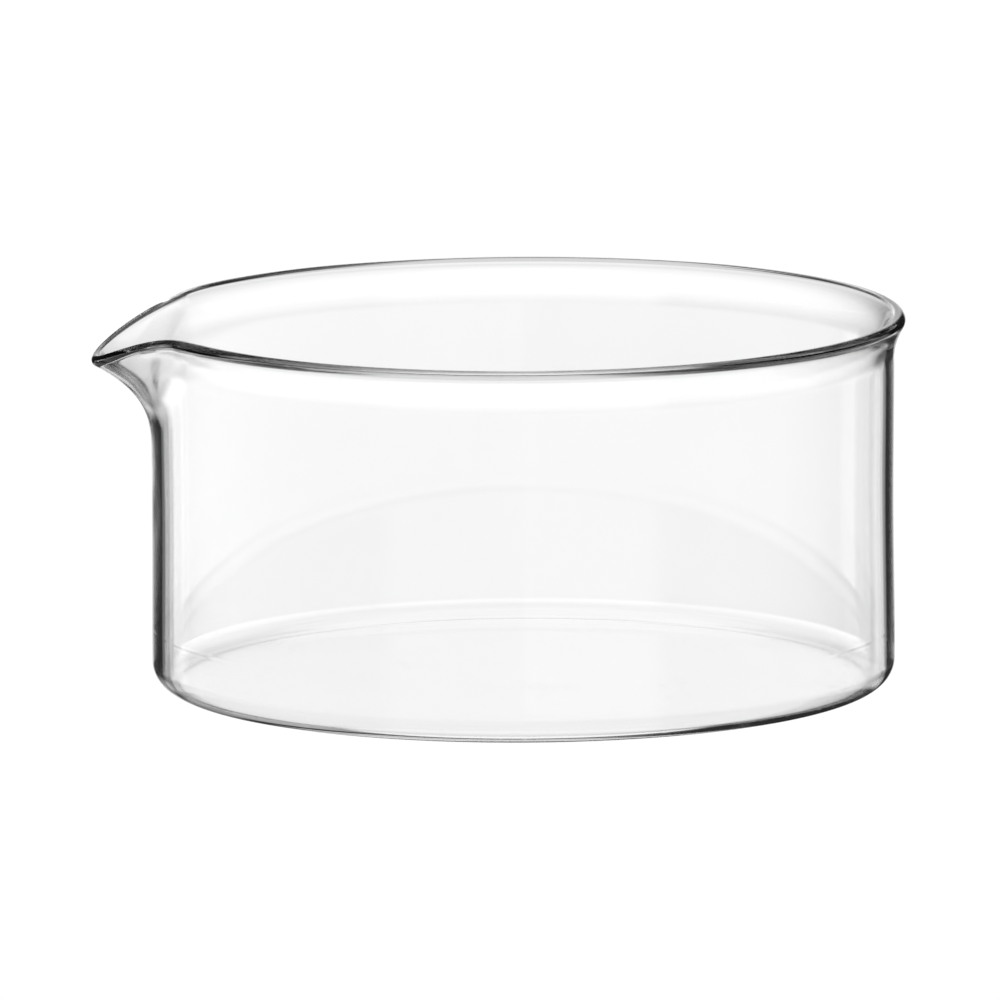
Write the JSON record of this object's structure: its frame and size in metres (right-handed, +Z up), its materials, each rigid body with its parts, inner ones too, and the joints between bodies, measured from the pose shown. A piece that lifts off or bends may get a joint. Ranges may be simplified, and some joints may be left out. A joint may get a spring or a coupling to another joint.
{
  "type": "evaporating dish",
  "caption": "Low cylindrical laboratory glass dish with a flat base, an out-turned round-edged rim and a pouring spout, for evaporating and crystallising solutions.",
  "frame": {"origin": "centre of the flat underside, on the vessel's axis", "axes": "+Z up along the vessel's axis; the spout points along -X"},
  "size_m": [0.1641, 0.1546, 0.0756],
  "materials": {
    "clear_glass": "clear fire-polished borosilicate glass"
  },
  "bodies": {
    "root": {"glass_dish": "clear_glass"}
  },
  "joints": []
}
